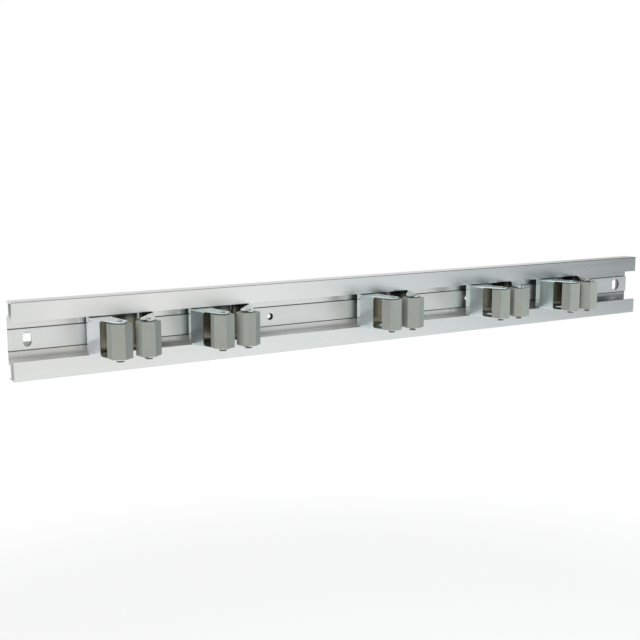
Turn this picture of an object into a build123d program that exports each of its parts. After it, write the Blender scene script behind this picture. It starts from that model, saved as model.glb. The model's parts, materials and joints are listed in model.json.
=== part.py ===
"""Wall tool holder: an aluminium rail with sliding spring clips that grip handles between rubber rollers.

X runs along the rail from its middle, the wall is the plane Y = 0 with the room towards -Y, and Z points up.
"""

import os
from math import asin, degrees, radians, tan

from build123d import *

os.makedirs("parts", exist_ok=True)

# Rail extrusion; depths are measured from the wall
RAIL_LENGTH = 1000.0
RAIL_HEIGHT = 90.0
RAIL_DEPTH = 22.5
SLOT_HEIGHT = 45.0
LIP_THICKNESS = 2.0
WALL_THICKNESS = 1.8
LEDGE_DEPTH = 9.5
LEDGE_THICKNESS = 2.0
CHANNEL_HEIGHT = 53.0
FLOOR_THICKNESS = 2.0
BAND_HEIGHT = 24.0
BAND_DEPTH = 4.3
GROOVE_WIDTH = 0.6
GROOVE_DEPTH = 0.9
RAIL_EDGE_RADIUS = 0.9

# Fixing holes: openings in the raised band that take a screw's head, over smaller ones in the floor
LEFT_HOLE_X = -479.0
RIGHT_HOLE_X = 475.5
HOLE_SLOT_WIDTH = 9.5
UPRIGHT_SLOT_LENGTH = 17.2
LYING_SLOT_LENGTH = 24.0
LYING_SLOT_RISE = 1.4
HEAD_HOLE_RADIUS = 8.75
ROUND_HOLE_X = 165.0
ROUND_HOLE_RADIUS = 4.6
SCREW_HOLE_RADIUS = 2.75

# Clip sheet metal; "out" distances run towards the room from the rear face of the clip's back plate
SHEET = 1.2
SLIDE_GAP = 0.3
EYELET_ROLL = 0.5
PLATE_REAR = -(LEDGE_DEPTH + SLIDE_GAP + EYELET_ROLL)
CLIP_DROP = 0.3  # the clip sits low in the slot
ARM_HALF_HEIGHT = 21.9
TAB_WIDTH = 26.0
TAB_REACH = RAIL_HEIGHT / 2 - WALL_THICKNESS - SLIDE_GAP - CLIP_DROP
TAB_ROOT_RADIUS = 6.0
LEFT_FACE = 38.0
RIGHT_FACE = 42.0
CORNER_RADIUS = 4.5
TONGUE_LENGTH = 6.0
TONGUE_HALF_HEIGHT = 16.5
CREASE_OUT = 13.5

# Spring bend at the right of the clip, taller than the rail's slot
SPRING_START = 24.5
SPRING_SLOPE = 8.0
SPRING_RADIUS = 9.0
SPRING_RISE = 2.5
SPRING_RISE_START = 20.5
SPRING_PEAK_OUT = 4.0
SPRING_END_OUT = RAIL_DEPTH - LIP_THICKNESS + PLATE_REAR - SLIDE_GAP

# Arms with folded edges, a window and round ears
FOLD_RADIUS = 2.4
PLATE_LENGTH = 22.0
WINDOW_LENGTH = 60.0
WINDOW_RADIUS = 3.0
EAR_RADIUS = 9.2
FLANGE_REACH = 70.0
FLANGE_FILLET = 6.0

# Straps of the left arm on the tabs
STRAP_WIDTH = 12.0
STRAP_MARGIN = 6.0
STRAP_CRANK_HEIGHT = 3.5
STRAP_CRANK_OUT = 8.0
STRAP_FOOT_OUT = 9.2
STRAP_BEND_RADIUS = 2.0
STRAP_END_RADIUS = 5.7

# Eyelets
EYELET_Z = 31.5
EYELET_BORE = 2.7
EYELET_BARREL = 3.2
EYELET_FLANGE = 4.9
EYELET_ROLL_RADIUS = 4.2
EYELET_FLANGE_THICKNESS = 0.8

# Pins and rollers
PIN_X = 17.3
PIN_OUT = 55.5
PIN_RADIUS = 2.5
RUNNING_GAP = 0.05
HEAD_RADIUS = 4.5
HEAD_THICKNESS = 1.2
HEAD_DROP = 1.7
RIVET_RADIUS = 3.3
RIVET_CROWN_RADIUS = 1.9
RIVET_HEIGHT = 1.5
ROLLER_SIDE = 14.6
ROLLER_HEIGHT = 39.8
ROLLER_EDGE_RADIUS = 0.8

# Each clip's place along the rail, and the turn of its left and right roller from square
CLIPS = [
    (-375.0, 26.6, 21.1),
    (-246.2, 39.6, 20.0),
    (2.3, 12.1, 35.0),
    (192.6, 12.0, 41.0),
    (330.2, 18.0, 57.8),
]


def depth(out):
    """Y of a place in the clip that is the given distance in front of the back plate's rear face."""
    return PLATE_REAR - out


def arm_line(side, crease_x):
    """An arm's crease point, the direction along its plate to the ear, and the direction into the clip."""
    crease = Vector(side * crease_x, depth(CREASE_OUT))
    to_pin = Vector(side * PIN_X, depth(PIN_OUT)) - crease
    lean = degrees(asin(EAR_RADIUS / to_pin.length))
    along = to_pin.normalized().rotate(Axis.Z, side * lean)
    inward = along.rotate(Axis.Z, -90 * side)
    return crease, along, inward


def arm(side, crease_x, flange_edge):
    """One arm: a channel with folded edges, trimmed in plan to its flange outline, and opened by a window."""
    crease, along, inward = arm_line(side, crease_x)
    pin_centre = Vector(side * PIN_X, depth(PIN_OUT))
    ear_touch = pin_centre - inward * EAR_RADIUS
    edge = [Vector(side * x, depth(out)) for x, out in flange_edge]
    flange_level = ARM_HALF_HEIGHT - SHEET / 2
    with BuildPart() as shell:
        with BuildSketch(Plane(origin=crease, x_dir=inward, z_dir=along)):
            with BuildLine():
                FilletPolyline(
                    (FLANGE_REACH, flange_level),
                    (SHEET / 2, flange_level),
                    (SHEET / 2, -flange_level),
                    (FLANGE_REACH, -flange_level),
                    radius=FOLD_RADIUS - SHEET / 2,
                )
            trace(line_width=SHEET)
        extrude(amount=WINDOW_LENGTH)
        with BuildSketch() as plan:
            with BuildLine():
                Polyline(crease, ear_touch, *edge, crease + inward * SHEET, close=True)
            make_face()
            fillet(plan.vertices().sort_by_distance(edge[1])[0], FLANGE_FILLET)
            with Locations(pin_centre):
                Circle(EAR_RADIUS)
                Circle(PIN_RADIUS + RUNNING_GAP, mode=Mode.SUBTRACT)
        extrude(amount=ARM_HALF_HEIGHT, both=True, mode=Mode.INTERSECT)
        with BuildSketch(Plane(origin=crease, x_dir=along, z_dir=inward)):
            with Locations((PLATE_LENGTH, 0)):
                RectangleRounded(
                    WINDOW_LENGTH,
                    2 * (ARM_HALF_HEIGHT - SHEET),
                    WINDOW_RADIUS,
                    align=(Align.MIN, Align.CENTER),
                )
        extrude(amount=FOLD_RADIUS, mode=Mode.SUBTRACT)
    return shell.part


# Inner edges of the flanges, from the ear to the wall: distance from the clip's middle plane, distance out
RIGHT_FLANGE_EDGE = [(8.5, 53.0), (12.0, 46.0), (38.0, 16.0)]
LEFT_FLANGE_EDGE = [
    (8.5, 53.0),
    (14.0, 19.0),
    (-STRAP_WIDTH / 2, STRAP_FOOT_OUT),
    (STRAP_WIDTH / 2, STRAP_FOOT_OUT),
    (36.0, 17.5),
]

# The left arm's plate lies on the outside of the back spring's return
left_crease_x = LEFT_FACE + SHEET
left_crease, left_along, left_inward = arm_line(-1, left_crease_x)
left_arm_shell = arm(-1, left_crease_x, LEFT_FLANGE_EDGE)
right_arm_shell = arm(1, RIGHT_FACE, RIGHT_FLANGE_EDGE)

with BuildPart() as rail:
    with BuildSketch(Plane.YZ.offset(-RAIL_LENGTH / 2)) as section:
        inner_height = RAIL_HEIGHT - 2 * WALL_THICKNESS
        Rectangle(RAIL_DEPTH, RAIL_HEIGHT, align=(Align.MAX, Align.CENTER))
        fillet(section.vertices(), RAIL_EDGE_RADIUS)
        # Pocket behind the lips, the slot between them, and the channel down to the floor
        with Locations((-LEDGE_DEPTH, 0)):
            pocket_depth = RAIL_DEPTH - LIP_THICKNESS - LEDGE_DEPTH
            Rectangle(pocket_depth, inner_height, align=(Align.MAX, Align.CENTER), mode=Mode.SUBTRACT)
            Rectangle(RAIL_DEPTH, SLOT_HEIGHT, align=(Align.MAX, Align.CENTER), mode=Mode.SUBTRACT)
        with Locations((-FLOOR_THICKNESS, 0)):
            channel_depth = LEDGE_DEPTH - FLOOR_THICKNESS
            Rectangle(channel_depth, CHANNEL_HEIGHT, align=(Align.MAX, Align.CENTER), mode=Mode.SUBTRACT)
        # Raised middle band on the floor, with a narrow groove along each of its edges
        Rectangle(BAND_DEPTH, BAND_HEIGHT, align=(Align.MAX, Align.CENTER))
        groove_middle = (BAND_HEIGHT + GROOVE_WIDTH) / 2
        with Locations((-FLOOR_THICKNESS, groove_middle), (-FLOOR_THICKNESS, -groove_middle)):
            Rectangle(GROOVE_DEPTH, GROOVE_WIDTH, align=(Align.MIN, Align.CENTER), mode=Mode.SUBTRACT)
        # Hollows of the two ledges, open to the wall
        ledge_hollow = (inner_height - CHANNEL_HEIGHT) / 2 - WALL_THICKNESS
        ledge_middle = inner_height / 2 - ledge_hollow / 2
        with Locations((0, ledge_middle), (0, -ledge_middle)):
            Rectangle(
                LEDGE_DEPTH - LEDGE_THICKNESS,
                ledge_hollow,
                align=(Align.MAX, Align.CENTER),
                mode=Mode.SUBTRACT,
            )
    extrude(amount=RAIL_LENGTH)
    # Openings in the floor, next to the wall
    with BuildSketch(Plane.XZ):
        with Locations((-ROUND_HOLE_X, 0), (ROUND_HOLE_X, 0)):
            Circle(SCREW_HOLE_RADIUS)
        with Locations((LEFT_HOLE_X, LYING_SLOT_RISE)):
            SlotOverall(LYING_SLOT_LENGTH, HOLE_SLOT_WIDTH)
        with Locations((RIGHT_HOLE_X, 0)):
            SlotOverall(UPRIGHT_SLOT_LENGTH, HOLE_SLOT_WIDTH, rotation=90)
    extrude(amount=FLOOR_THICKNESS, mode=Mode.SUBTRACT)
    # Openings in the band in front of them
    with BuildSketch(Plane.XZ.offset(FLOOR_THICKNESS)):
        with Locations((-ROUND_HOLE_X, 0), (ROUND_HOLE_X, 0)):
            Circle(ROUND_HOLE_RADIUS)
        with Locations((LEFT_HOLE_X, 0)):
            SlotOverall(UPRIGHT_SLOT_LENGTH, HOLE_SLOT_WIDTH, rotation=90)
        with Locations((RIGHT_HOLE_X, 0)):
            Circle(HEAD_HOLE_RADIUS)
    extrude(amount=BAND_DEPTH - FLOOR_THICKNESS, mode=Mode.SUBTRACT)

with BuildPart() as back_spring:
    # The bent strip in plan, from the tongue under the left arm to the right arm's crease
    return_x = SHEET / 2 - LEFT_FACE
    tongue_start = left_crease + left_inward * (1.5 * SHEET)
    to_return = (return_x - tongue_start.X) / left_along.X
    left_bend = tongue_start + left_along * to_return
    right_x = RIGHT_FACE - SHEET / 2
    spring_corner_out = SHEET / 2 + (right_x - SPRING_START) * tan(radians(SPRING_SLOPE))
    with BuildSketch(Plane.XY.offset(-TAB_REACH)):
        with BuildLine():
            FilletPolyline(
                left_bend + left_along * TONGUE_LENGTH,
                left_bend,
                (return_x, depth(SHEET / 2)),
                (SPRING_START, depth(SHEET / 2)),
                (right_x, depth(spring_corner_out)),
                (right_x, depth(CREASE_OUT)),
                radius=[CORNER_RADIUS, CORNER_RADIUS, SPRING_RADIUS, SPRING_RADIUS - SHEET / 2],
            )
        trace(line_width=SHEET)
    extrude(amount=2 * TAB_REACH)
    # Seen from the front: the strip, the two round-ended tabs with their eyelet holes, and the rising spring
    strip_width = LEFT_FACE + RIGHT_FACE
    with BuildSketch(Plane.XZ) as front:
        with Locations(((RIGHT_FACE - LEFT_FACE) / 2, 0)):
            Rectangle(strip_width, 2 * ARM_HALF_HEIGHT)
        SlotOverall(2 * TAB_REACH, TAB_WIDTH, rotation=90)
        tab_roots = front.vertices().filter_by_position(Axis.X, -TAB_WIDTH / 2, TAB_WIDTH / 2)
        fillet(tab_roots.filter_by_position(Axis.Y, -ARM_HALF_HEIGHT, ARM_HALF_HEIGHT), TAB_ROOT_RADIUS)
        with BuildLine():
            rise = TangentArc(
                (RIGHT_FACE, ARM_HALF_HEIGHT + SPRING_RISE),
                (SPRING_RISE_START, ARM_HALF_HEIGHT),
                tangent=(-1, 0),
            )
            Polyline(rise @ 1, (SPRING_RISE_START, 0), (RIGHT_FACE, 0), rise @ 0)
        make_face()
        mirror(about=Plane.XZ)
        with Locations((0, EYELET_Z), (0, -EYELET_Z)):
            Circle(EYELET_BARREL + RUNNING_GAP, mode=Mode.SUBTRACT)
    extrude(amount=RAIL_DEPTH - PLATE_REAR, mode=Mode.INTERSECT)
    # Seen from the right: the spring falls back to the arm's height before it passes between the lips
    with BuildSketch(Plane.YZ.offset(SPRING_START)):
        with BuildLine():
            fall = TangentArc(
                (depth(SPRING_PEAK_OUT), ARM_HALF_HEIGHT + SPRING_RISE),
                (depth(SPRING_END_OUT), ARM_HALF_HEIGHT),
                tangent=(-1, 0),
            )
            Polyline(fall @ 1, (depth(CREASE_OUT), ARM_HALF_HEIGHT), (depth(CREASE_OUT), TAB_REACH), fall @ 0)
        make_face()
        mirror(about=Plane.XZ)
    extrude(amount=RIGHT_FACE, mode=Mode.SUBTRACT)
    # Seen from the left: the tongue is low enough to lie between the left arm's folds
    with BuildSketch(Plane.YZ.offset(-2 * LEFT_FACE)):
        with Locations((depth(CREASE_OUT), 0)):
            Rectangle(CREASE_OUT, 2 * TAB_REACH, align=(Align.MAX, Align.CENTER))
            Rectangle(CREASE_OUT, 2 * TONGUE_HALF_HEIGHT, align=(Align.MAX, Align.CENTER), mode=Mode.SUBTRACT)
    extrude(amount=2 * LEFT_FACE, mode=Mode.SUBTRACT)
    add(right_arm_shell)

with BuildPart() as left_arm:
    add(left_arm_shell)
    # Straps in side view: flat on the tab, then cranked forward to the flange
    strap_out = 1.5 * SHEET
    flange_z = ARM_HALF_HEIGHT - SHEET / 2
    with BuildSketch(Plane.YZ.offset(-STRAP_WIDTH / 2)):
        with BuildLine():
            FilletPolyline(
                (depth(strap_out), EYELET_Z + STRAP_MARGIN),
                (depth(strap_out), ARM_HALF_HEIGHT + STRAP_CRANK_HEIGHT),
                (depth(STRAP_CRANK_OUT), flange_z),
                (depth(STRAP_FOOT_OUT), flange_z),
                radius=STRAP_BEND_RADIUS,
            )
        trace(line_width=SHEET)
        mirror(about=Plane.XZ)
    extrude(amount=STRAP_WIDTH)
    by_height = left_arm.edges().filter_by(Axis.Y).group_by(Axis.Z)
    fillet(by_height[0] + by_height[-1], STRAP_END_RADIUS)
    with BuildSketch(Plane.XZ.offset(-PLATE_REAR)):
        with Locations((0, EYELET_Z), (0, -EYELET_Z)):
            Circle(EYELET_BARREL + RUNNING_GAP)
    extrude(amount=2 * SHEET, mode=Mode.SUBTRACT)

with BuildPart() as eyelets:
    # Half section from the rolled rear end through the two sheets to the front flange
    with BuildSketch(Plane.YZ):
        front_out = 2 * SHEET + EYELET_FLANGE_THICKNESS
        with BuildLine():
            Polyline(
                (depth(-EYELET_ROLL), EYELET_Z + EYELET_BORE),
                (depth(-EYELET_ROLL), EYELET_Z + EYELET_ROLL_RADIUS),
                (depth(0), EYELET_Z + EYELET_ROLL_RADIUS),
                (depth(0), EYELET_Z + EYELET_BARREL),
                (depth(2 * SHEET), EYELET_Z + EYELET_BARREL),
                (depth(2 * SHEET), EYELET_Z + EYELET_FLANGE),
                (depth(front_out), EYELET_Z + EYELET_FLANGE),
                (depth(front_out), EYELET_Z + EYELET_BORE),
                close=True,
            )
        make_face()
    revolve(axis=Axis((0, 0, EYELET_Z), (0, 1, 0)))
    mirror(about=Plane.XY)

with BuildPart() as pin:
    # Half section: it hangs from its riveted top, with the flat head a little below the lower ear
    head_top = -ARM_HALF_HEIGHT - HEAD_DROP
    with BuildSketch(Plane.XZ):
        with BuildLine():
            Polyline(
                (0, head_top - HEAD_THICKNESS),
                (HEAD_RADIUS, head_top - HEAD_THICKNESS),
                (HEAD_RADIUS, head_top),
                (PIN_RADIUS, head_top),
                (PIN_RADIUS, ARM_HALF_HEIGHT),
                (RIVET_RADIUS, ARM_HALF_HEIGHT),
                (RIVET_CROWN_RADIUS, ARM_HALF_HEIGHT + RIVET_HEIGHT),
                (0, ARM_HALF_HEIGHT + RIVET_HEIGHT),
                close=True,
            )
        make_face()
    revolve(axis=Axis.Z)

with BuildPart() as roller:
    # It rests low in the arm, just above the lower ear
    with BuildSketch(Plane.XY.offset(SHEET + SLIDE_GAP - ARM_HALF_HEIGHT)) as hexagon:
        RegularPolygon(radius=ROLLER_SIDE, side_count=6)
        fillet(hexagon.vertices(), ROLLER_EDGE_RADIUS)
        Circle(PIN_RADIUS + RUNNING_GAP, mode=Mode.SUBTRACT)
    extrude(amount=ROLLER_HEIGHT)

rail.part.label = "rail"
export_step(rail.part, "parts/rail.step")

for number, (clip_x, left_turn, right_turn) in enumerate(CLIPS, start=1):
    place = Location((clip_x, 0, -CLIP_DROP))
    left_pin = place * Location((-PIN_X, depth(PIN_OUT), 0))
    right_pin = place * Location((PIN_X, depth(PIN_OUT), 0))
    pieces = {
        "back_spring": back_spring.part.moved(place),
        "left_arm": left_arm.part.moved(place),
        "eyelets": eyelets.part.moved(place),
        "left_pin": pin.part.moved(left_pin),
        "right_pin": pin.part.moved(right_pin),
        "left_roller": roller.part.moved(left_pin * Rotation(0, 0, -left_turn)),
        "right_roller": roller.part.moved(right_pin * Rotation(0, 0, -right_turn)),
    }
    for name, piece in pieces.items():
        piece.label = f"clip_{number}_{name}"
        export_step(piece, f"parts/{piece.label}.step")
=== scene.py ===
import json
from math import cos, pi, radians, sin, tan

import bmesh
import bpy
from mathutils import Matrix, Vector


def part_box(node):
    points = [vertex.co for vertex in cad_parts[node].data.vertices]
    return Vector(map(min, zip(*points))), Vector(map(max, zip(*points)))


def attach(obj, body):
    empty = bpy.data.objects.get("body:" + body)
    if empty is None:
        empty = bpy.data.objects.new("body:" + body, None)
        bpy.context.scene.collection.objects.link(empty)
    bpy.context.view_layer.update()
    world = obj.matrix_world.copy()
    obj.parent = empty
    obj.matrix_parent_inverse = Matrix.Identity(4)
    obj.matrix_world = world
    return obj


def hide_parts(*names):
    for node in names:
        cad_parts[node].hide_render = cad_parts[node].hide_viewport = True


bl_info = {
    "name": "Wall tool holder",
    "version": (1, 0, 0),
    "blender": (4, 5, 0),
    "location": "View3D > Sidebar > Tool holder",
    "description": "Dresses a wall rail with sliding spring clips and hexagonal rubber rollers",
    "category": "Object",
}

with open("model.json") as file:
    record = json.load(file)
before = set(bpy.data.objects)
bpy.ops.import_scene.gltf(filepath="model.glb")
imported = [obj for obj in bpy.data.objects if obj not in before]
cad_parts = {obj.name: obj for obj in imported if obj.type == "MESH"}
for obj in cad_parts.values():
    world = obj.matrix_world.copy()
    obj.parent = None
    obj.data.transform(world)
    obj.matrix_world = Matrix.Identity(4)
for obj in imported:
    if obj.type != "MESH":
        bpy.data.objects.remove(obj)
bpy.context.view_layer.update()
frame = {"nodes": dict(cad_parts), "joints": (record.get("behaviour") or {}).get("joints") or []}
JOINTS = {joint["name"]: joint for joint in frame["joints"]}
CLIP_NUMBERS = (1, 2, 3, 4, 5)
SIDES = ("left", "right")
EYELETS_PER_CLIP = 2
WHITE = (1.0, 1.0, 1.0)
BLACK = (0.0, 0.0, 0.0)

# Regions of the rail, in metres along an axis: where each begins and where it is full
RAIL_TOP = (0.03, 0.04)
UPPER_LIP = (0.0222, 0.0226)
UPPER_STRIP = (0.0125, 0.0200)
BAND_EDGE = (0.0125, 0.0118)
FOOT = (-0.0128, -0.0140)
LOWER_STRIP = (-0.0125, -0.0200)
POCKET_HEIGHT = (0.0218, 0.0226)
TOP_EDGE = (0.0440, 0.0443)
LIP_EDGE = (0.0016, 0.0002)
UPPER_GROOVE = (0.0008, 0.0005)
LOWER_GROOVE = (0.0012, 0.0008)
LOWER_GROOVE_DROP = 0.0003
BEHIND_LIPS = (-0.0198, -0.0190)
BEHIND_BAND_FACE = (-0.00428, -0.00415)
BEFORE_BACK = (-0.0001, -0.0003)
GROOVE_DEPTH = (-0.0042, -0.0038)
LIP_DEPTH = (-0.018, -0.021)
LIP_FACE = (-0.0218, -0.0222)
EDGE_FACE = (-0.0213, -0.0216)
POCKET_DEPTH = (-0.0218, -0.0208)

# Stretches along the rail over which a mark grows or fades
DUSTY_LIP = (-0.45, -0.2)
POCKET_LIGHT = (0.42, 0.25)
MATT_LIP = (-0.05, -0.2)
PALE_LIP = (-0.5, -0.43)
FOOT_SHADE_FADE = (0.05, 0.4)
DARKER_EDGE = (-0.1, 0.45)
DARK_FOOT = (0.3, 0.44)

# Faces told apart by one part of their normal
SAWN_FACE = (0.7, 0.9)
UPWARD_FACE = (0.5, 0.9)
FRONT_FACE = (-0.4, -0.6)
INNER_FACE = (-0.3, -0.5)
LEFT_FACE = (-0.4, -0.7)

# Fixing holes: place along the rail, half width and half height,
# how the shade inside leans right and down, and how dark it gets
HOLES = (
    (-0.479, 0.0052, 0.0092, 0.15, 1.0, 0.5),
    (-0.165, 0.0050, 0.0050, 1.0, 0.5, 0.97),
    (0.165, 0.0050, 0.0050, 1.0, 0.5, 0.97),
    (0.4755, 0.0092, 0.0092, 1.0, 0.2, 0.5),
)
HOLE_RIM = (1.0, 0.98)
HOLE_SHADE = (-0.45, 0.25)
HOLE_LEAST_SHADE = 0.15

# Regions of a clip's sheets and pins, in metres from the clip's middle,
# from the wall plane or from the rail's middle height
PLATE_START = (-0.0375, -0.0365)
PLATE_DEPTH = (-0.0215, -0.0195)
RIGHT_ARM_START = (0.008, 0.010)
BEND_FOOT = (0.012, 0.016)
RETURN_END = (-0.0320, -0.0330)
RETURN_DEPTH = (-0.0226, -0.0216)
INSIDE_SHADE_SPLIT = (0.013, 0.019)
PIN_HEAD = (-0.0225, -0.0235)

# Plating tint of each clip's left arm, each also set lighter or darker as painted light and shade
ARM_TINTS_AND_SHADE = {
    1: (0.88, 0.885, 0.94),
    2: (0.52, 0.61, 0.60),
    3: (0.66, 0.74, 0.74),
    4: (0.74, 0.83, 0.83),
    5: (0.66, 0.79, 0.78),
}

# A painted highlight along each clip's spring bend: distance from the clip's middle and width
BEND_HIGHLIGHTS = {
    1: (0.0268, 0.0012),
    2: (0.0212, 0.0012),
    3: (0.0160, 0.0040),
    4: (0.0104, 0.0030),
    5: (0.0162, 0.0028),
}

# How far each clip's left and right roller stands turned from square, in degrees
ROLLER_TURNS = {1: (26.6, 21.1), 2: (39.6, 20.0), 3: (12.1, 35.0), 4: (12.0, 41.0), 5: (18.0, 57.8)}

# Edges sharper than this stay crisp
ROLLER_SHARP = radians(40)
FASTENER_SHARP = radians(50)

# The room by turn: left at 0.25, in front of the rail at 0.5, right at 0.75 and behind it at both ends
ROOM_AROUND = (
    (0.0, WHITE),
    (0.45, WHITE),
    (0.49, (0.75, 0.73, 0.69)),
    (0.53, (0.87, 0.78, 0.67)),
    (0.542, (0.90, 0.83, 0.735)),
    (0.552, (0.97, 0.92, 0.865)),
    (0.564, (1.0, 1.0, 0.985)),
    (0.58, (0.955, 0.99, 0.98)),
    (0.59, (0.83, 0.885, 0.88)),
    (0.604, (0.70, 0.75, 0.78)),
    (0.615, (0.33, 0.37, 0.40)),
    (0.628, (0.07, 0.085, 0.10)),
    (0.76, (0.07, 0.085, 0.10)),
    (0.80, WHITE),
)
ROOM_BELOW = (
    (0.54, (0.77, 0.735, 0.70)),
    (0.60, (0.94, 0.94, 0.94)),
    (0.612, (0.93, 0.94, 0.95)),
    (0.64, (0.57, 0.60, 0.62)),
    (0.76, (0.57, 0.60, 0.62)),
    (0.80, WHITE),
)
ROOM_CEILING = (0.55, 0.60, 0.58)

# Fades of the room by the direction's parts: in front of the rail, high up, and under the horizon
IN_FRONT = (0.1, -0.1)
HIGH_UP = (0.35, 0.75)
LOW_DOWN = (-0.118, -0.16)

# Distance from the rail's middle over which the floor turns white, and where the floor ends
FLOOR_FADE = (1.2, 2.6)
FLOOR_REACH = 4.0

# Lamps and camera, in metres where nothing else is said
KEY_PLACE = (-2.8, -2.7, 1.2)
KEY_SIZE = 3.6
FILL_PLACE = (0.85, -0.8, 0.5)
FILL_SIZE = 0.9
FILL_COLOUR = (0.86, 0.96, 1.0)
SENSOR_WIDTH_MM = 36.0
VIEW_LIMIT = 50.0


class Value:
    """A node's output that takes part in Python sums; each operator adds one Math node."""

    def __init__(self, tree, socket):
        self.tree = tree
        self.socket = socket

    def math(self, operation, first, second=0.0):
        """The result of one Math node."""
        return self.tree.node("ShaderNodeMath", {"operation": operation}, {0: first, 1: second})

    def __add__(self, other):
        return self.math("ADD", self, other)

    def __sub__(self, other):
        return self.math("SUBTRACT", self, other)

    def __rsub__(self, other):
        return self.math("SUBTRACT", other, self)

    def __mul__(self, other):
        return self.math("MULTIPLY", self, other)

    def __truediv__(self, other):
        return self.math("DIVIDE", self, other)

    def __abs__(self):
        return self.math("ABSOLUTE", self)

    def __pow__(self, other):
        return self.math("POWER", self, other)

    __radd__ = __add__
    __rmul__ = __mul__

    def larger(self, other):
        """The larger of two values."""
        return self.math("MAXIMUM", self, other)

    def step(self, low, high):
        """0 below low, 1 above high and smooth between them; falls instead where low is the larger."""
        settings = {"interpolation_type": "SMOOTHSTEP"}
        inputs = {"Value": self, "From Min": low, "From Max": high}
        return self.tree.node("ShaderNodeMapRange", settings, inputs)


class Tree:
    """A node tree that grows one node at a time."""

    # The Mix node's sockets that hold colours
    FIRST_COLOUR = 6
    SECOND_COLOUR = 7
    MIXED_COLOUR = 2

    def __init__(self, node_tree):
        self.tree = node_tree

    def node(self, kind, settings=None, inputs=None, output=0):
        """Adds a node, sets its own settings, then the values or links of its sockets; gives one output."""
        node = self.tree.nodes.new(kind)
        for name, value in (settings or {}).items():
            if name == "stops":
                self.set_stops(node.color_ramp, value)
            else:
                setattr(node, name, value)
        for key, value in (inputs or {}).items():
            if isinstance(value, Value):
                self.tree.links.new(value.socket, node.inputs[key])
            else:
                node.inputs[key].default_value = value
        return Value(self, node.outputs[output])

    def set_stops(self, ramp, stops):
        """Gives a colour ramp its stops of position and colour."""
        while len(ramp.elements) < len(stops):
            ramp.elements.new(1.0)
        for element, (position, colour) in zip(ramp.elements, stops):
            element.position = position
            element.color = (*colour, 1.0)

    def mix(self, factor, first, second):
        """A colour between two colours."""
        settings = {"data_type": "RGBA", "clamp_factor": True}
        inputs = {
            "Factor": factor,
            self.FIRST_COLOUR: self.rgba(first),
            self.SECOND_COLOUR: self.rgba(second),
        }
        return self.node("ShaderNodeMix", settings, inputs, self.MIXED_COLOUR)

    def rgba(self, colour):
        """A linked colour as it is, a plain one with full alpha."""
        return colour if isinstance(colour, Value) else (*colour, 1.0)

    def ramp(self, value, stops):
        """A colour read from stops of position and colour."""
        return self.node("ShaderNodeValToRGB", {"stops": stops}, {0: value})

    def place(self, scale=(1, 1, 1), turn=(0, 0, 0)):
        """Object coordinates in metres, scaled and turned."""
        place = self.node("ShaderNodeTexCoord", output="Object")
        return self.node("ShaderNodeMapping", None, {"Vector": place, "Scale": scale, "Rotation": turn})

    def noise(self, scale, stretch=(1, 1, 1), detail=3.0, rough=0.5, turn=(0, 0, 0)):
        """Noise from 0 to 1 with the given number of spots to the metre."""
        place = self.place(stretch, turn)
        inputs = {"Vector": place, "Scale": scale, "Detail": detail, "Roughness": rough}
        return self.node("ShaderNodeTexNoise", None, inputs)

    def axes(self, vector):
        """The three parts of a vector."""
        split = self.node("ShaderNodeSeparateXYZ", None, {0: vector})
        return [Value(self, split.socket.node.outputs[axis]) for axis in "XYZ"]

    def seen(self):
        """1 for rays from the camera, mirrors and glass, 0 for scattered light."""
        paths = self.node("ShaderNodeLightPath").socket.node.outputs
        camera = Value(self, paths["Is Camera Ray"])
        glossy = Value(self, paths["Is Glossy Ray"])
        clear = Value(self, paths["Is Transmission Ray"])
        return camera + glossy + clear

    def bump(self, height, strength, distance):
        """A normal tilted by a height pattern."""
        inputs = {"Height": height, "Strength": strength, "Distance": distance}
        return self.node("ShaderNodeBump", None, inputs)


class Finish(Tree):
    """A procedural material with one Principled shader."""

    def __init__(self, name):
        self.material = bpy.data.materials.new(name)
        self.material.use_nodes = True
        super().__init__(self.material.node_tree)
        self.shader = self.tree.nodes["Principled BSDF"]

    def normal(self):
        """The three parts of the surface's normal."""
        return self.axes(self.node("ShaderNodeNewGeometry", output="Normal"))

    def surface(self, **sockets):
        """Sets or links the shader's sockets, with _ for the blanks in their names."""
        for name, value in sockets.items():
            socket = self.shader.inputs[name.replace("_", " ")]
            if isinstance(value, Value):
                self.tree.links.new(value.socket, socket)
            else:
                socket.default_value = value
        return self.material


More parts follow.
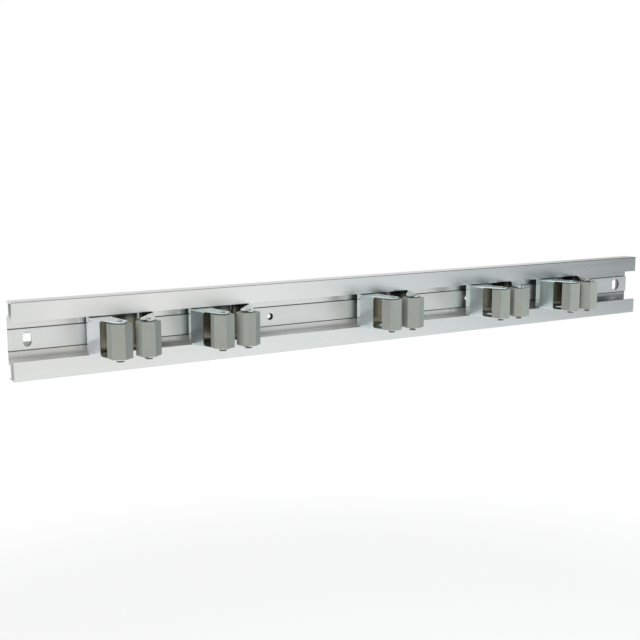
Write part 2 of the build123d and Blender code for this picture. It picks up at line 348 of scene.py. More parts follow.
def rail_finish(look):
    """Satin anodised aluminium with lines along the extrusion, rubbed lips and sawn ends; painted shade in
    the grooves, holes and the slot's foot, a painted dark line on the top front edge, and painted light on
    the top lip and behind the lips.
    """
    finish = Finish("rail_satin_anodised")
    x, y, z = finish.axes(finish.place())
    normal_x, _, normal_z = finish.normal()

    # Patterns
    streaks = finish.noise(160, (0.012, 1, 1), 4, 0.6)
    die_lines = finish.noise(2600, (0.004, 1, 1), 2)
    clouds = finish.noise(14, (0.4, 1, 1), 3)
    saw_marks = finish.noise(1400, (1, 1, 0.05), 2, turn=(radians(14), 0, 0))
    scuffs = finish.noise(420, (0.08, 1, 1), 5, 0.7).step(0.63, 0.72)
    wear = finish.noise(60, (0.3, 1, 1), 4).step(0.4, 0.6)

    # Regions
    sawn = abs(normal_x).step(*SAWN_FACE)
    dusty = z.step(*RAIL_TOP).larger(look.lip_dust * x.step(*DUSTY_LIP))
    dust = normal_z.step(*UPWARD_FACE) * dusty
    rubbed = abs(abs(z) - look.slot_height / 2).step(*LIP_EDGE) * y.step(*LIP_DEPTH) * wear
    # Painted shade in the grooves beside the band, the upper one a little lighter
    upper_groove = abs(z - look.groove_height).step(*UPPER_GROOVE) * look.upper_groove_shade
    lower_groove = abs(z + look.groove_height + LOWER_GROOVE_DROP).step(*LOWER_GROOVE)
    groove = (upper_groove + lower_groove) * y.step(*GROOVE_DEPTH)
    sheltered = y.step(*BEHIND_LIPS)
    foot = sheltered * z.step(*FOOT)
    band = sheltered * abs(z).step(*BAND_EDGE)
    upper_strip = sheltered * z.step(*UPPER_STRIP)
    # Painted shade over the lower strip of the foot towards the right end
    dark_foot = sheltered * z.step(*LOWER_STRIP) * x.step(*DARK_FOOT)
    # Painted shade in the foot of the slot, fading towards the right end
    foot_shade = foot * (1 - 0.7 * x.step(*FOOT_SHADE_FADE))
    # Painted light in the pocket behind the lips, fading out towards the right end
    pocket = y.step(*POCKET_DEPTH) * abs(z).step(*POCKET_HEIGHT) * x.step(*POCKET_LIGHT)
    matt_lip = z.step(*UPPER_LIP) * y.step(*LIP_FACE) * x.step(*MATT_LIP)
    # A dark line painted along the top front edge, darker towards the right end: painted shade
    front_edge = z.step(*TOP_EDGE) * y.step(*EDGE_FACE) * (0.6 + 0.35 * x.step(*DARKER_EDGE))

    # Colour
    tone = 0.5 + 0.2 * (streaks - 0.5) + 0.5 * (clouds - 0.5)
    colour = finish.mix(tone, look.shade_colour, look.colour)
    # The left part of the top lip's face painted paler: painted light
    colour = finish.mix(matt_lip * (0.2 + 0.45 * x.step(*PALE_LIP)), colour, look.pale_light_colour)
    colour = finish.mix(scuffs * 0.12, colour, look.scuff_colour)
    colour = finish.mix(rubbed * 0.6, colour, look.scuff_colour)
    colour = finish.mix(sawn * (0.3 + 0.5 * saw_marks), colour, look.sawn_colour)
    colour = finish.mix(dust * (0.55 + 0.45 * clouds), colour, look.dust_colour)
    # Painted shade in the foot of the slot, less towards the right end
    colour = finish.mix(foot_shade * (0.7 + 0.2 * clouds), colour, look.slot_shade_colour)
    # Painted shade along the strip under the top lip
    colour = finish.mix(upper_strip * 0.15, colour, look.slot_shade_colour)
    # Painted shade: the foot's lower strip darker towards the right end
    colour = finish.mix(dark_foot * 0.6, colour, look.painted_shade_colour)
    colour = finish.mix(groove * 0.9, colour, look.painted_shade_colour)
    colour = finish.mix(front_edge, colour, look.edge_shading_colour)
    # Painted light in the pocket behind the lips
    colour = finish.mix(pocket * 0.5, colour, look.pale_light_colour)
    # Painted shade inside the fixing holes, darker to the right and down
    inner = y.step(*BEHIND_BAND_FACE) * y.step(*BEFORE_BACK)
    for place, half_width, half_height, lean_right, lean_down, darkest in HOLES:
        across = (x - place) / half_width
        upward = z / half_height
        bored = abs(across).step(*HOLE_RIM) * abs(upward).step(*HOLE_RIM) * inner
        shade = (lean_right * across - lean_down * upward).step(*HOLE_SHADE)
        shade = HOLE_LEAST_SHADE + shade * (darkest - HOLE_LEAST_SHADE)
        colour = finish.mix(bored * shade, colour, look.painted_shade_colour)

    # Surface
    metal = 0.97 - 0.45 * foot_shade - 0.1 * pocket - 0.28 * matt_lip
    rough = look.roughness + 0.05 * (streaks - 0.5) + 0.08 * (clouds - 0.5) + 0.02 * scuffs
    rough = rough - 0.08 * rubbed + 0.16 * sawn + 0.2 * dust
    rough = rough - 0.07 * foot + 0.14 * band + 0.12 * matt_lip
    lines = die_lines * (1 - sawn) + saw_marks * sawn * 1.5
    normal = finish.bump(lines, 0.02, 0.00004)
    return finish.surface(Base_Color=colour, Metallic=metal, Roughness=rough, Normal=normal)


def sheet_finish(look, name, tint, return_tint_and_shade, middle, highlight_line):
    """Bright zinc plate on spring steel: a bluish mottle and faint rolling lines, with painted shade on the
    inside, a painted highlight along the spring's bend, and the return painted lighter or darker.
    """
    finish = Finish(name)
    x, y, z = finish.axes(finish.place())
    normal_x, normal_y, _ = finish.normal()

    # Patterns
    mottle = finish.noise(90, (1, 1, 1), 4, 0.6)
    film = finish.noise(22, (1, 1, 0.6), 2)
    rolling = finish.noise(1800, (1, 1, 0.03), 2)
    specks = finish.noise(1500, (1, 1, 1), 2).step(0.66, 0.74)
    scratches = finish.noise(700, (0.05, 1, 1), 4, 0.7, turn=(0, radians(24), 0)).step(0.66, 0.73)

    # Regions
    across = x - middle
    back_plate = normal_y.step(*FRONT_FACE) * y.step(*PLATE_DEPTH) * across.step(*PLATE_START)
    right_arm = normal_x.step(*INNER_FACE) * across.step(*RIGHT_ARM_START)
    bend_place, bend_width = highlight_line
    # A painted highlight: a strip along the spring's bend left out of the painted inside shade
    bend = abs(across - bend_place).step(bend_width, bend_width / 2) * z.step(*BEND_FOOT)
    inside = back_plate.larger(right_arm) * (1 - bend)
    looks_left = normal_x.step(*LEFT_FACE)
    side_return = across.step(*RETURN_END) * y.step(*RETURN_DEPTH)

    # Colour
    colour = finish.mix(mottle.step(0.3, 0.7) * 0.6, tint, look.mottle_colour)
    colour = finish.mix(film.step(0.45, 0.75) * 0.35, colour, look.film_colour)
    colour = finish.mix(specks * 0.35, colour, look.mark_colour)
    # The spring's return painted towards the arm's tint: painted light and shade
    colour = finish.mix(side_return * 0.5, colour, return_tint_and_shade)
    # Painted shade on the inner faces: near-black above the rollers, olive lower down as a painted reflection
    # of the rubber
    inside_shade = finish.mix(z.step(*INSIDE_SHADE_SPLIT), look.lower_inside_shade_colour, look.upper_inside_shade_colour)
    colour = finish.mix(inside * (0.93 + 0.1 * film), colour, inside_shade)

    # Surface
    metal = 0.94 - 0.18 * looks_left
    rough = look.roughness + 0.12 * (mottle - 0.5) + 0.08 * (film - 0.5) + 0.15 * scratches
    normal = finish.bump(rolling + 0.5 * mottle + 0.4 * scratches, 0.10, 0.00006)
    return finish.surface(Base_Color=colour, Metallic=metal, Roughness=rough, Normal=normal)


def fastener_finish(look, name, colour, dull_colour, head_shade):
    """Plated steel of the small turned pieces, with a soft tarnish, fine tool rings and lower heads darkened
    as painted shade under the rollers.
    """
    finish = Finish(name)
    _, _, z = finish.axes(finish.place())
    tarnish = finish.noise(520, (1, 1, 1), 4, 0.6)
    rings = finish.noise(3000, (1, 1, 1), 2)
    tint = finish.mix(tarnish.step(0.35, 0.75), colour, dull_colour)
    # The lower heads under the rollers darkened: painted shade
    tint = finish.mix(z.step(*PIN_HEAD) * head_shade, tint, look.head_shade_colour)
    rough = look.roughness + 0.16 * (tarnish - 0.5)
    normal = finish.bump(rings, 0.10, 0.00004)
    return finish.surface(Base_Color=tint, Metallic=1.0, Roughness=rough, Normal=normal)


def rubber_finish(look):
    """Moulded warm-grey rubber: fine matt grain, cloudy bloom and edges a little paler, partly rubbed wear
    and partly a painted highlight.
    """
    finish = Finish("roller_grey_rubber")
    grain = finish.noise(2400, (1, 1, 1), 3)
    bloom = finish.noise(70, (1, 1, 0.45), 4, 0.6)
    smears = finish.noise(240, (1, 1, 0.12), 4, 0.65)
    wear = finish.noise(300, (1, 1, 0.5), 4).step(0.35, 0.65)
    # Paler edges and the strips beside them: partly rubbed wear, partly a painted highlight
    edge = finish.node("ShaderNodeAttribute", {"attribute_name": "edge"}, output="Fac")
    rubbed = edge * (0.35 + 0.65 * wear)
    colour = finish.mix(bloom.step(0.3, 0.7), look.colour, look.bloom_colour)
    colour = finish.mix(smears.step(0.5, 0.75) * 0.35, colour, look.smear_colour)
    colour = finish.mix(rubbed * 0.35, colour, look.edge_shading_colour)
    rough = look.roughness + 0.14 * (bloom - 0.5) + 0.08 * (grain - 0.5) - 0.06 * rubbed
    normal = finish.bump(grain + 0.5 * smears, 0.18, 0.00008)
    return finish.surface(Base_Color=colour, Roughness=rough, Normal=normal, Specular_IOR_Level=0.35)


def add_object(name, data):
    """Puts a mesh, a lamp or a camera in the scene."""
    made = bpy.data.objects.new(name, data)
    bpy.context.scene.collection.objects.link(made)
    return made


def add_piece(mesh, body, nodes):
    """Puts a finished mesh in the scene as a piece that rides on a body in place of the given nodes."""
    piece = add_object(mesh.name, mesh)
    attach(piece, body)
    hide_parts(*nodes)


def dress(node, material):
    """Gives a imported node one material."""
    node.data.materials.clear()
    node.data.materials.append(material)


def close_form(form, mesh, sharp):
    """Turns all faces outwards, smooths what is less sharp than the angle, and keeps the form as the mesh."""
    bmesh.ops.recalc_face_normals(form, faces=form.faces)
    for face in form.faces:
        face.smooth = True
    for edge in form.edges:
        edge.smooth = edge.calc_face_angle(0.0) < sharp
    form.to_mesh(mesh)
    form.free()


def roller_section(look, inset):
    """Points round the rounded hexagon, moved in by inset, each with 1 on a rounding and 0 on a flat."""
    half_corner = pi / 6
    apothem = look.side * cos(half_corner)
    corner_reach = (apothem - look.corner_radius) / cos(half_corner)
    radius = look.corner_radius - inset
    flat = look.side - 2 * look.corner_radius * tan(half_corner)
    points = []
    for corner in range(6):
        middle = corner * pi / 3
        centre = Vector((cos(middle), sin(middle))) * corner_reach
        start = middle - half_corner
        for place in range(look.corner_segments + 1):
            angle = start + place * pi / 3 / look.corner_segments
            points.append((centre + Vector((cos(angle), sin(angle))) * radius, 1.0))
        along = Vector((-sin(middle + half_corner), cos(middle + half_corner)))
        last = points[-1][0]
        for place in range(look.flat_segments + 1):
            reach = look.pale_edge_width + (flat - 2 * look.pale_edge_width) * place / look.flat_segments
            points.append((last + along * reach, 0.0))
    return points


def roller_rings(look, half):
    """The levels of a roller from top to bottom: inset of the section, height, and 1 on a rounded edge."""
    rings = []
    for step in range(look.end_segments + 1):
        angle = step * pi / 2 / look.end_segments
        inset = look.end_radius * (1 - sin(angle))
        rise = look.end_radius * (1 - cos(angle))
        rings.append((inset, half - rise, 1.0))
    rings.append((0.0, half - look.end_radius - look.pale_edge_width, 0.0))
    return rings + [(inset, -height, edge) for inset, height, edge in reversed(rings)]


def roller_mesh(name, look, centre, height, turn):
    """A closed hexagonal roller with rounded edges and a bore for its pin."""
    half = height / 2
    cos_turn = cos(radians(-turn))
    sin_turn = sin(radians(-turn))
    form = bmesh.new()
    edge_layer = form.verts.layers.float.new("edge")

    def vert(point, level, edge):
        x = point.x * cos_turn - point.y * sin_turn + centre.x
        y = point.x * sin_turn + point.y * cos_turn + centre.y
        made = form.verts.new((x, y, level + centre.z))
        made[edge_layer] = edge
        return made

    def bore_loop(level):
        section = roller_section(look, 0.0)
        return [vert(point.normalized() * look.bore, level, 0.0) for point, _ in section]

    loops = []
    for inset, level, ring_edge in roller_rings(look, half):
        section = roller_section(look, inset)
        loops.append([vert(point, level, max(edge, ring_edge)) for point, edge in section])
    upper_bore = bore_loop(half)
    loops = [upper_bore, *loops, bore_loop(-half), upper_bore]
    for upper, lower in zip(loops, loops[1:]):
        for here in range(len(upper)):
            after = (here + 1) % len(upper)
            form.faces.new((upper[here], lower[here], lower[after], upper[after]))
    mesh = bpy.data.meshes.new(name)
    close_form(form, mesh, ROLLER_SHARP)
    return mesh


def turned_tree():
    """Geometry nodes that turn a drawn half section about its axis and set copies in a row."""
    tree = bpy.data.node_groups.new("turned_fastener", "GeometryNodeTree")
    sockets = {
        "Geometry": "NodeSocketGeometry",
        "Corner Radius": "NodeSocketFloat",
        "Turn Segments": "NodeSocketInt",
        "First Place": "NodeSocketVector",
        "Step": "NodeSocketVector",
        "Count": "NodeSocketInt",
        "Tilt": "NodeSocketVector",
        "Finish": "NodeSocketMaterial",
    }
    for name, kind in sockets.items():
        tree.interface.new_socket(name, in_out="INPUT", socket_type=kind)
    tree.interface.new_socket("Geometry", in_out="OUTPUT", socket_type="NodeSocketGeometry")
    grow = Tree(tree)
    source = tree.nodes.new("NodeGroupInput")
    given = {name: Value(grow, source.outputs[name]) for name in sockets}
    # The section is swept round a circle that is next to nothing, and the points on the axis are joined
    axis_radius = 1e-6
    join_distance = 4e-6
    corner_points = 4
    section = grow.node("GeometryNodeMeshToCurve", None, {"Mesh": given["Geometry"]})
    rounding = {
        "Curve": section,
        "Count": corner_points,
        "Radius": given["Corner Radius"],
        "Limit Radius": True,
    }
    section = grow.node("GeometryNodeFilletCurve", {"mode": "POLY"}, rounding)
    circle = {"Resolution": given["Turn Segments"], "Radius": axis_radius}
    path = grow.node("GeometryNodeCurvePrimitiveCircle", None, circle)
    turned = grow.node("GeometryNodeCurveToMesh", None, {"Curve": path, "Profile Curve": section})
    joined = {"Geometry": turned, "Distance": join_distance}
    closed = grow.node("GeometryNodeMergeByDistance", None, joined)
    row = {"Count": given["Count"], "Start Location": given["First Place"], "Offset": given["Step"]}
    places = grow.node("GeometryNodeMeshLine", None, row)
    tilt = grow.node("FunctionNodeEulerToRotation", None, {0: given["Tilt"]})
    copies = {"Points": places, "Instance": closed, "Rotation": tilt}
    copies = grow.node("GeometryNodeInstanceOnPoints", None, copies)
    whole = grow.node("GeometryNodeRealizeInstances", None, {"Geometry": copies})
    whole = grow.node("GeometryNodeSetMaterial", None, {"Geometry": whole, "Material": given["Finish"]})
    end = tree.nodes.new("NodeGroupOutput")
    tree.links.new(whole.socket, end.inputs["Geometry"])
    return tree


def turned_mesh(name, tree, section, values):
    """The plain mesh of a half section of radius and height, turned and copied by the tree."""
    wire = bpy.data.meshes.new(name + "_section")
    # The sweep lays the section's second axis downwards
    points = [(radius, -height, 0.0) for radius, height in section]
    wire.from_pydata(points, [(here, here + 1) for here in range(len(points) - 1)], [])
    source = add_object(wire.name, wire)
    modifier = source.modifiers.new("Turn", "NODES")
    modifier.node_group = tree
    for item in tree.interface.items_tree:
        if item.in_out == "INPUT" and item.name in values:
            modifier[item.identifier] = values[item.name]
    bpy.context.view_layer.update()
    evaluated = source.evaluated_get(bpy.context.evaluated_depsgraph_get())
    mesh = bpy.data.meshes.new_from_object(evaluated)
    mesh.name = name
    source.modifiers.remove(modifier)
    bpy.data.objects.remove(source)
    bpy.data.meshes.remove(wire)
    form = bmesh.new()
    form.from_mesh(mesh)
    close_form(form, mesh, FASTENER_SHARP)
    return mesh


def colour_property(name, description, default):
    """A colour that a user can change."""
    return bpy.props.FloatVectorProperty(
        name=name, description=description, default=default, size=3, subtype="COLOR", min=0.0, max=1.0)


def length_property(name, description, default):
    """A length in metres that a user can change."""
    return bpy.props.FloatProperty(
        name=name, description=description, default=default, unit="LENGTH", precision=5)


def share_property(name, description, default):
    """A number from 0 to 1 that a user can change."""
    return bpy.props.FloatProperty(
        name=name, description=description, default=default, subtype="FACTOR", min=0.0, max=1.0)


def count_property(name, description, default, least):
    """A whole number that a user can change."""
    return bpy.props.IntProperty(name=name, description=description, default=default, min=least)


class RailLook(bpy.types.PropertyGroup):
    """The rail's aluminium."""

    colour: colour_property("Colour", "Anodised surface", (0.80, 0.825, 0.82))
    shade_colour: colour_property("Streaks", "Darker lines along the extrusion", (0.72, 0.745, 0.745))
    scuff_colour: colour_property("Rubbed", "Bare metal where clips rub", (0.84, 0.84, 0.83))
    sawn_colour: colour_property("Sawn ends", "Cut faces at both ends", (0.70, 0.70, 0.71))
    dust_colour: colour_property("Dust", "Settled dust on faces that look up", (0.46, 0.46, 0.45))
    lip_dust: share_property("Lip dust", "Dust on the lips, as a share of that on top", 0.7)
    # Painted shade: the grooves beside the band, the lower strip of the foot near the right end, and the
    # inside of the fixing holes
    painted_shade_colour: colour_property("Grooves", "Dirt in the grooves beside the band", (0.05, 0.05, 0.05))
    groove_height: length_property(
        "Groove height", "Middle of a groove above or below the rail's middle", 0.0124)
    # The upper groove's painted shade, as a share of the lower one's
    upper_groove_shade: share_property(
        "Upper groove", "Dirt in the upper groove, as a share of the lower one's", 0.85)
    # Painted shade in the foot of the slot and along the strip under the top lip
    slot_shade_colour: colour_property("Settled dust", "Dust in the foot of the slot", (0.67, 0.67, 0.655))
    # A dark line painted along the top front edge: painted shade
    edge_shading_colour: colour_property("Front edge", "Worn line along the top front edge", (0.20, 0.20, 0.21))
    # Painted light: paler metal in the pocket behind the lips and on the top lip's face
    pale_light_colour: colour_property("Clean metal", "Pale metal behind and on the lips", (0.96, 0.955, 0.95))
    roughness: share_property("Roughness", "Satin blur of the surface", 0.27)
    slot_height: length_property("Slot height", "Gap between the two lips", 0.045)


class SheetLook(bpy.types.PropertyGroup):
    """The clips' zinc-plated spring steel."""

    colour: colour_property("Colour", "Clean zinc plate", (0.80, 0.86, 0.82))
    mottle_colour: colour_property("Mottle", "Duller patches of the plate", (0.70, 0.76, 0.76))
    film_colour: colour_property("Film", "Thin passivation film", (0.68, 0.80, 0.78))
    mark_colour: colour_property("Specks", "Small dark marks", (0.45, 0.48, 0.50))
    # Painted shade on the inner faces above the rollers
    upper_inside_shade_colour: colour_property("Blued inside", "Dark inner faces, above the rollers", (0.025, 0.035, 0.05))
    # Painted shade on the inner faces behind the rollers, olive as a painted reflection of the rubber
    lower_inside_shade_colour: colour_property("Oiled inside", "Dark inner faces, behind the rollers", (0.21, 0.20, 0.15))
    roughness: share_property("Roughness", "Blur of the plate", 0.2)


class FastenerLook(bpy.types.PropertyGroup):
    """Pins and eyelets."""

    pin_colour: colour_property("Pin", "Zinc plate of the pins", (0.62, 0.64, 0.63))
    pin_dull_colour: colour_property("Pin tarnish", "Duller zinc", (0.42, 0.44, 0.43))
    # Painted shade on the lower heads under the rollers: how strong, and its colour
    pin_head_shade: share_property("Pin grime", "How far grime hides the lower heads", 0.8)
    head_shade_colour: colour_property("Grime", "Dirt on the heads under the rollers", (0.10, 0.10, 0.09))
    eyelet_colour: colour_property("Eyelet", "Nickel plate of the eyelets", (0.78, 0.73, 0.64))
    eyelet_dull_colour: colour_property("Eyelet tarnish", "Duller nickel", (0.58, 0.53, 0.46))
    roughness: share_property("Roughness", "Blur of the plating", 0.24)
    segments: count_property("Segments", "Flats round each piece", 40, 12)
    rounding: length_property("Rounding", "Radius of the turned corners", 0.00035)
    head_thickness: length_property("Head", "Thickness of a pin's lower head", 0.0012)
    shaft_radius: length_property("Shaft", "Radius of a pin's shaft", 0.0025)
    rivet_radius: length_property("Rivet", "Radius of a pin's riveted end", 0.0033)
    rivet_height: length_property("Rivet height", "Height of the riveted end above the ear", 0.0015)
    rivet_shoulder: length_property("Rivet shoulder", "Height of the riveted end's slope", 0.0005)
    rivet_flat: length_property("Rivet flat", "Radius of the riveted end's flat", 0.0026)
    dimple_rim: length_property("Dimple rim", "Radius of the dimple at its rim", 0.0018)
    dimple_floor: length_property("Dimple floor", "Radius of the dimple near its floor", 0.0012)
    dimple_wall: length_property("Dimple wall", "Depth of the dimple's slope", 0.0009)
    dimple_depth: length_property("Dimple depth", "Depth of the dimple in its middle", 0.0010)
    eyelet_bore: length_property("Eyelet bore", "Radius of an eyelet's hole", 0.0027)
    eyelet_radius: length_property("Eyelet tube", "Radius of an eyelet's tube", 0.0032)
    rolled_radius: length_property("Rolled end", "Radius of an eyelet's rolled end", 0.0042)
    rolled_thickness: length_property("Rolled thickness", "Thickness of the rolled end", 0.0005)
    flange_thickness: length_property("Flange", "Thickness of an eyelet's flange", 0.0008)


class RollerLook(bpy.types.PropertyGroup):
    """The rubber rollers."""

    side: length_property("Side", "Side of the hexagon", 0.0146)
    bore: length_property("Bore", "Radius of the hole for the pin", 0.00255)
    corner_radius: length_property("Corner radius", "Rounding of the upright edges", 0.0008)
    end_radius: length_property("End radius", "Rounding of the end edges", 0.0004)
    # The paler strip beside an edge is partly rubbed wear, partly a painted highlight
    pale_edge_width: length_property("Rubbed width", "Width of the rubbed strip beside an edge", 0.0009)
    corner_segments: count_property("Corner segments", "Flats in an upright rounding", 5, 2)
    end_segments: count_property("End segments", "Flats in an end rounding", 4, 2)
    flat_segments: count_property("Flat segments", "Parts of a flat", 6, 1)
    colour: colour_property("Colour", "Rubber", (0.392, 0.412, 0.374))
    bloom_colour: colour_property("Bloom", "Paler cloudy patches", (0.43, 0.45, 0.41))
    smear_colour: colour_property("Smears", "Marks of handles", (0.345, 0.362, 0.328))
    # Paler edges: partly rubbed wear, partly a painted highlight
    edge_shading_colour: colour_property("Edges", "Rubbed edges", (0.475, 0.495, 0.46))
    roughness: share_property("Roughness", "Matt surface", 0.56)


class StudioLook(bpy.types.PropertyGroup):
    """Floor, light and camera."""

    camera_place: bpy.props.FloatVectorProperty(
        name="Camera", description="Where the camera stands",
        default=(-0.7941, -1.1385, 0.2015), subtype="XYZ")
    camera_yaw: bpy.props.FloatProperty(
        name="Yaw", description="Camera's turn to the right", default=radians(31.88), subtype="ANGLE")
    camera_pitch: bpy.props.FloatProperty(
        name="Pitch", description="Camera's tilt down", default=radians(9.04), subtype="ANGLE")
    lens: bpy.props.FloatProperty(name="Lens", description="Focal length in millimetres", default=57.0)
    floor_height: length_property("Floor height", "Height of the floor under the rail's middle", -0.9)
    floor_colour: colour_property("Floor", "Pale floor", (0.35, 0.35, 0.35))
    floor_glow: share_property(
        "Floor glow", "White that the camera and mirrors see on top of the lit floor", 0.82)
    scatter_share: share_property(
        "Scattered light", "Share of the room's light that falls on matt surfaces", 0.15)
    key_power: bpy.props.FloatProperty(
        name="Key light", description="Watts of the large soft lamp", default=117.0)
    fill_power: bpy.props.FloatProperty(
        name="Fill light", description="Watts of the cooler lamp", default=8.6)


class HolderSettings(bpy.types.PropertyGroup):
    """All settings of the tool holder."""

    rail: bpy.props.PointerProperty(type=RailLook, name="Rail")
    sheet: bpy.props.PointerProperty(type=SheetLook, name="Sheet metal")
    fastener: bpy.props.PointerProperty(type=FastenerLook, name="Fasteners")
    roller: bpy.props.PointerProperty(type=RollerLook, name="Rollers")
    studio: bpy.props.PointerProperty(type=StudioLook, name="Studio")


class DressRail(bpy.types.Operator):
    """Give the rail its satin aluminium"""

    bl_idname = "tool_holder.rail"
    bl_label = "Rail"

    def execute(self, context):
        dress(frame["nodes"]["rail"], rail_finish(context.scene.tool_holder.rail))
        return {"FINISHED"}


class DressSheets(bpy.types.Operator):
    """Give the back springs and left arms their zinc plate"""

    bl_idname = "tool_holder.sheets"
    bl_label = "Springs and arms"

    def execute(self, context):
        look = context.scene.tool_holder.sheet
        for number in CLIP_NUMBERS:
            # The eyelets stand in the clip's middle
            low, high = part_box(f"clip_{number}_eyelets")
            middle = (low.x + high.x) / 2
            # The arm's tint also carries painted light and shade
            arm_tint_and_shade = ARM_TINTS_AND_SHADE[number]
            for piece, tint in (("back_spring", look.colour), ("left_arm", arm_tint_and_shade)):
                node = f"clip_{number}_{piece}"
                zinc = sheet_finish(look, node + "_zinc", tint, arm_tint_and_shade, middle, BEND_HIGHLIGHTS[number])
                dress(frame["nodes"][node], zinc)
        return {"FINISHED"}


class MakePins(bpy.types.Operator):
    """Turn the two riveted pins of each clip"""

    bl_idname = "tool_holder.pins"
    bl_label = "Pins"

    def execute(self, context):
        look = context.scene.tool_holder.fastener
        finish = fastener_finish(look, "pin_zinc", look.pin_colour, look.pin_dull_colour, look.pin_head_shade)
        tree = turned_tree()
        for number in CLIP_NUMBERS:
            nodes = [f"clip_{number}_{side}_pin" for side in SIDES]
            low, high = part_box(nodes[0])
            far_low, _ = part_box(nodes[1])
            middle = (low + high) / 2
            values = {
                "Corner Radius": look.rounding,
                "Turn Segments": look.segments,
                "First Place": (middle.x, middle.y, 0.0),
                "Step": (far_low.x - low.x, 0.0, 0.0),
                "Count": len(nodes),
                "Tilt": (0.0, 0.0, 0.0),
                "Finish": finish,
            }
            section = self.section(look, (high.x - low.x) / 2, low.z, high.z)
            mesh = turned_mesh(f"clip_{number}_pins", tree, section, values)
            add_piece(mesh, f"clip_{number}", nodes)
        return {"FINISHED"}

    def section(self, look, head_radius, bottom, top):
        """Half section of a pin: flat head below, shaft, and a riveted end with a dimple."""
        head_top = bottom + look.head_thickness
        ear_top = top - look.rivet_height
        return [
            (0.0, bottom),
            (head_radius, bottom),
            (head_radius, head_top),
            (look.shaft_radius, head_top),
            (look.shaft_radius, ear_top),
            (look.rivet_radius, ear_top),
            (look.rivet_radius, top - look.rivet_shoulder),
            (look.rivet_flat, top),
            (look.dimple_rim, top),
            (look.dimple_floor, top - look.dimple_wall),
            (0.0, top - look.dimple_depth),
        ]


class MakeEyelets(bpy.types.Operator):
    """Turn the two rolled eyelets of each clip"""

    bl_idname = "tool_holder.eyelets"
    bl_label = "Eyelets"

    def execute(self, context):
        look = context.scene.tool_holder.fastener
        finish = fastener_finish(
            look, "eyelet_nickel", look.eyelet_colour, look.eyelet_dull_colour, head_shade=0.0)
        tree = turned_tree()
        for number in CLIP_NUMBERS:
            node = f"clip_{number}_eyelets"
            low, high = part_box(node)
            flange = (high.x - low.x) / 2
            values = {
                "Corner Radius": look.rounding,
                "Turn Segments": look.segments,
                "First Place": ((low.x + high.x) / 2, high.y, low.z + flange),
                "Step": (0.0, 0.0, high.z - low.z - 2 * flange),
                "Count": EYELETS_PER_CLIP,
                "Tilt": (pi / 2, 0.0, 0.0),
                "Finish": finish,
            }
            section = self.section(look, flange, high.y - low.y)
            mesh = turned_mesh(f"clip_{number}_rolled_eyelets", tree, section, values)
            add_piece(mesh, f"clip_{number}", [node])
        return {"FINISHED"}

    def section(self, look, flange, length):
        """Half section of an eyelet, from its rolled end at the tab to its flange on the strap."""
        flange_foot = length - look.flange_thickness
        return [
            (look.eyelet_bore, 0.0),
            (look.rolled_radius, 0.0),
            (look.rolled_radius, look.rolled_thickness),
            (look.eyelet_radius, look.rolled_thickness),
            (look.eyelet_radius, flange_foot),
            (flange, flange_foot),
            (flange, length),
            (look.eyelet_bore, length),
            (look.eyelet_bore, 0.0),
        ]


class MakeRollers(bpy.types.Operator):
    """Mould the hexagonal rubber rollers"""

    bl_idname = "tool_holder.rollers"
    bl_label = "Rollers"

    def execute(self, context):
        look = context.scene.tool_holder.roller
        rubber = rubber_finish(look)
        for number in CLIP_NUMBERS:
            for side, turn in zip(SIDES, ROLLER_TURNS[number]):
                node = f"clip_{number}_{side}_roller"
                low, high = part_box(node)
                centre = Vector(JOINTS[node + "_turn"]["pos_m"])
                centre.z = (low.z + high.z) / 2
                mesh = roller_mesh(node + "_rubber", look, centre, high.z - low.z, turn)
                mesh.materials.append(rubber)
                add_piece(mesh, node, [node])
        return {"FINISHED"}


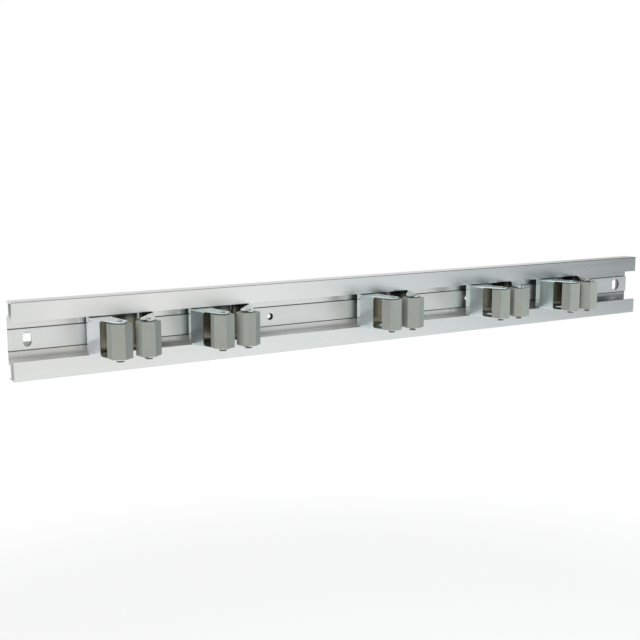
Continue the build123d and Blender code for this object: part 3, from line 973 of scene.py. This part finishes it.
class BuildStudio(bpy.types.Operator):
    """Set up the floor, the soft light and the camera"""

    bl_idname = "tool_holder.studio"
    bl_label = "Studio"

    def execute(self, context):
        look = context.scene.tool_holder.studio
        self.floor(look)
        self.room(context.scene, look)
        self.lamps(look)
        self.camera(context.scene, look)
        context.scene.view_settings.view_transform = "Standard"
        return {"FINISHED"}

    def floor(self, look):
        """A pale floor that glows white for the camera and keeps the part's shadow."""
        reach = FLOOR_REACH
        corners = [(-reach, -reach), (reach, -reach), (reach, reach), (-reach, reach)]
        mesh = bpy.data.meshes.new("floor")
        mesh.from_pydata([(x, y, look.floor_height) for x, y in corners], [], [(0, 1, 2, 3)])
        floor = add_object("floor", mesh)
        finish = Finish("floor_pale")
        x, y, _ = finish.axes(finish.place())
        far = ((x * x + y * y) ** 0.5).step(*FLOOR_FADE)
        near_glow = (look.floor_glow, look.floor_glow, look.floor_glow)
        glow = finish.mix(far, near_glow, WHITE)
        glow = finish.mix(finish.seen(), BLACK, glow)
        finish.surface(Base_Color=(*look.floor_colour, 1.0), Roughness=0.9, Specular_IOR_Level=0.0)
        finish.surface(Emission_Color=glow, Emission_Strength=1.0)
        mesh.materials.append(finish.material)

    def room(self, scene, look):
        """White behind and on the left, bright in front, dark on the right and pale below."""
        world = bpy.data.worlds.new("room")
        world.use_nodes = True
        scene.world = world
        tree = Tree(world.node_tree)
        x, y, z = tree.axes(tree.node("ShaderNodeTexCoord", output="Generated"))
        turn = x.math("ARCTAN2", x, 0 - y) / (2 * pi) + 0.5
        ceiling = y.step(*IN_FRONT) * z.step(*HIGH_UP)
        colour = tree.mix(ceiling, tree.ramp(turn, ROOM_AROUND), ROOM_CEILING)
        colour = tree.mix(z.step(*LOW_DOWN), colour, tree.ramp(turn, ROOM_BELOW))
        scattered = tree.mix(look.scatter_share, BLACK, colour)
        colour = tree.mix(tree.seen(), scattered, colour)
        background = world.node_tree.nodes["Background"]
        world.node_tree.links.new(colour.socket, background.inputs["Color"])

    def lamps(self, look):
        """A large lamp far off on the left and a cooler one near the right end."""
        lamps = {
            "key": (KEY_PLACE, KEY_SIZE, look.key_power, WHITE),
            "fill": (FILL_PLACE, FILL_SIZE, look.fill_power, FILL_COLOUR),
        }
        for name, (place, size, power, colour) in lamps.items():
            data = bpy.data.lights.new(name, "AREA")
            data.size = size
            data.energy = power
            data.color = colour
            lamp = add_object(name, data)
            lamp.location = place
            lamp.visible_glossy = False
            to_rail = -lamp.location
            lamp.rotation_euler = to_rail.to_track_quat("-Z", "Y").to_euler()

    def camera(self, scene, look):
        """The photograph's camera, left of the rail and a little above it."""
        data = bpy.data.cameras.new("camera")
        data.lens = look.lens
        data.sensor_width = SENSOR_WIDTH_MM
        data.clip_end = VIEW_LIMIT
        camera = add_object("camera", data)
        camera.location = look.camera_place
        camera.rotation_euler = (pi / 2 - look.camera_pitch, 0.0, -look.camera_yaw)
        scene.camera = camera


class HolderPanel(bpy.types.Panel):
    """Steps that build the tool holder"""

    bl_idname = "VIEW3D_PT_tool_holder"
    bl_label = "Tool holder"
    bl_space_type = "VIEW_3D"
    bl_region_type = "UI"
    bl_category = "Tool holder"

    def draw(self, context):
        for step in STEPS:
            self.layout.operator(step.bl_idname)


STEPS = (DressRail, DressSheets, MakePins, MakeEyelets, MakeRollers, BuildStudio)
CLASSES = (RailLook, SheetLook, FastenerLook, RollerLook, StudioLook, HolderSettings, *STEPS, HolderPanel)


def register():
    for made in CLASSES:
        bpy.utils.register_class(made)
    bpy.types.Scene.tool_holder = bpy.props.PointerProperty(type=HolderSettings)


def unregister():
    del bpy.types.Scene.tool_holder
    for made in reversed(CLASSES):
        bpy.utils.unregister_class(made)


def main():
    register()
    bpy.ops.tool_holder.rail()
    bpy.ops.tool_holder.sheets()
    bpy.ops.tool_holder.pins()
    bpy.ops.tool_holder.eyelets()
    bpy.ops.tool_holder.rollers()
    bpy.ops.tool_holder.studio()


if __name__ == "__main__":
    main()
